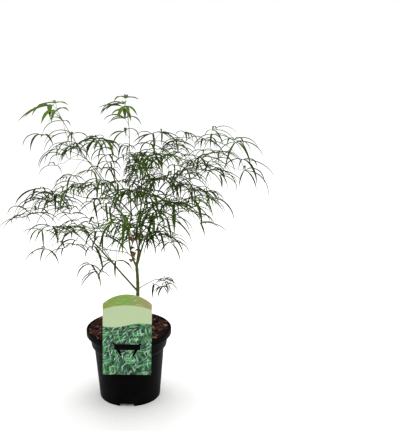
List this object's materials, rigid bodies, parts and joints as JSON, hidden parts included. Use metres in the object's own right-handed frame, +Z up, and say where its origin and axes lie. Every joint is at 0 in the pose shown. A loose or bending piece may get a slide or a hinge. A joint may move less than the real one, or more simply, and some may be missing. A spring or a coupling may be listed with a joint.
{
  "type": "potted japanese maple",
  "caption": "Young thread-leaf Japanese maple with a forked stem and an open, airy crown, in a round black nursery pot with a picture label hung on the rim.",
  "frame": {"origin": "centre of the pot's flat underside, on the floor", "axes": "+Z up, -Y towards the side with the label, +X to the right seen from there"},
  "size_m": [0.5884, 0.4514, 0.6676],
  "materials": {
    "pot_plastic": "satin black",
    "compost": "coarse damp bark",
    "label_card": "printed semi-gloss card",
    "bark": "smooth young bark",
    "foliage": "thin leaves"
  },
  "bodies": {
    "root": {"pot": "pot_plastic", "soil": "compost", "label": "label_card", "trunk": "bark", "bough_low_left": "bark", "bough_hanging": "bark", "bough_low_back": "bark", "bough_low_right": "bark", "stem_left": "bark", "stem_middle": "bark", "stem_right": "bark", "bough_inner_left": "bark", "bough_upper_left": "bark", "bough_left_front": "bark", "bough_left_back": "bark", "bough_leader": "bark", "bough_top_left": "bark", "bough_top_middle": "bark", "bough_top_right": "bark", "bough_right": "bark", "bough_right_front": "bark", "bough_right_back": "bark", "bough_right_low": "bark", "bough_front": "bark", "bough_front_left": "bark", "bough_back": "bark", "bough_back_left": "bark", "bough_back_right": "bark", "foliage_low_left": "foliage", "foliage_hanging": "foliage", "foliage_low_back": "foliage", "foliage_low_right": "foliage", "foliage_inner_left": "foliage", "foliage_upper_left": "foliage", "foliage_left_front": "foliage", "foliage_left_back": "foliage", "foliage_leader": "foliage", "foliage_top_left": "foliage", "foliage_top_middle": "foliage", "foliage_top_right": "foliage", "foliage_right": "foliage", "foliage_right_front": "foliage", "foliage_right_back": "foliage", "foliage_right_low": "foliage", "foliage_front": "foliage", "foliage_front_left": "foliage", "foliage_back": "foliage", "foliage_back_left": "foliage", "foliage_back_right": "foliage"}
  },
  "joints": []
}
